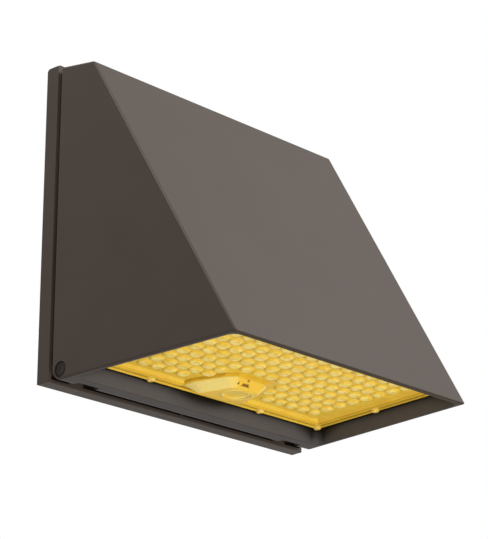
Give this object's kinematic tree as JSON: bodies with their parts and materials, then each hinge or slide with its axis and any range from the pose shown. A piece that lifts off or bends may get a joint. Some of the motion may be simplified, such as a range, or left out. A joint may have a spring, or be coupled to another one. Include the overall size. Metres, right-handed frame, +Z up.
{
  "type": "wall pack light",
  "caption": "Full cut-off wall pack light: drafted trapezoid cast housing hinged on a shallow back plate, with a recessed amber lens underneath.",
  "frame": {"origin": "centre of the four wall bolts, on the wall face of the back plate", "axes": "+Y into the wall, +Z up, +X to the right for someone facing the light"},
  "size_m": [0.3, 0.2128, 0.2833],
  "materials": {
    "bronze_coat": "die-cast aluminium with a satin dark bronze powder coat",
    "amber_lens": "moulded amber polycarbonate",
    "black_rubber": "moulded silicone rubber",
    "foam_rubber": "closed cell foam",
    "zinc_steel": "zinc plated steel",
    "black_steel": "black oxide steel",
    "board_white": "white solder mask on aluminium",
    "phosphor": "phosphor window",
    "connector_white": "moulded nylon",
    "driver_case": "mill finish aluminium",
    "galvanised_sheet": "galvanised sheet",
    "surge_case": "moulded plastic case",
    "terminal_plastic": "moulded thermoplastic",
    "green_screw": "green plated earth screw",
    "vent_plastic": "moulded plastic"
  },
  "bodies": {
    "wall_plate": {"back_plate": "bronze_coat", "wall_gasket": "foam_rubber", "wire_grommet": "black_rubber", "rim_seal": "black_rubber", "terminal_block": "terminal_plastic", "terminal_screws": "zinc_steel", "ground_screw": "green_screw"},
    "housing": {"housing": "bronze_coat", "hinge_pin_left": "black_steel", "hinge_pin_right": "black_steel", "hinge_clips": "zinc_steel", "closure_washers": "black_rubber", "closure_nuts": "zinc_steel", "optic_lens": "amber_lens", "sensor_pod": "amber_lens", "port_plug": "amber_lens", "lens_gasket": "black_rubber", "lens_screws": "zinc_steel", "led_board": "board_white", "led_chips": "phosphor", "led_board_screws": "zinc_steel", "board_connector": "connector_white", "driver_bracket": "galvanised_sheet", "bracket_screws": "zinc_steel", "driver": "driver_case", "driver_screws": "zinc_steel", "surge_protector": "surge_case", "surge_screws": "zinc_steel", "lead_grommet": "black_rubber", "vent_plug": "vent_plastic"},
    "left_closure_screw": {"closure_screw_left": "zinc_steel"},
    "right_closure_screw": {"closure_screw_right": "zinc_steel"}
  },
  "joints": [
    {"name": "housing_hinge", "type": "hinge", "parent": "wall_plate", "child": "housing", "pos_m": [0, -0.026, -0.1325], "axis": [1, 0, 0], "range_deg": [0, 90]},
    {"name": "left_closure_slide", "type": "slide", "parent": "housing", "child": "left_closure_screw", "axis": [0, 0, 1], "range_m": [0, 0.0048]},
    {"name": "right_closure_slide", "type": "slide", "parent": "housing", "child": "right_closure_screw", "axis": [0, 0, 1], "range_m": [0, 0.0048]}
  ]
}
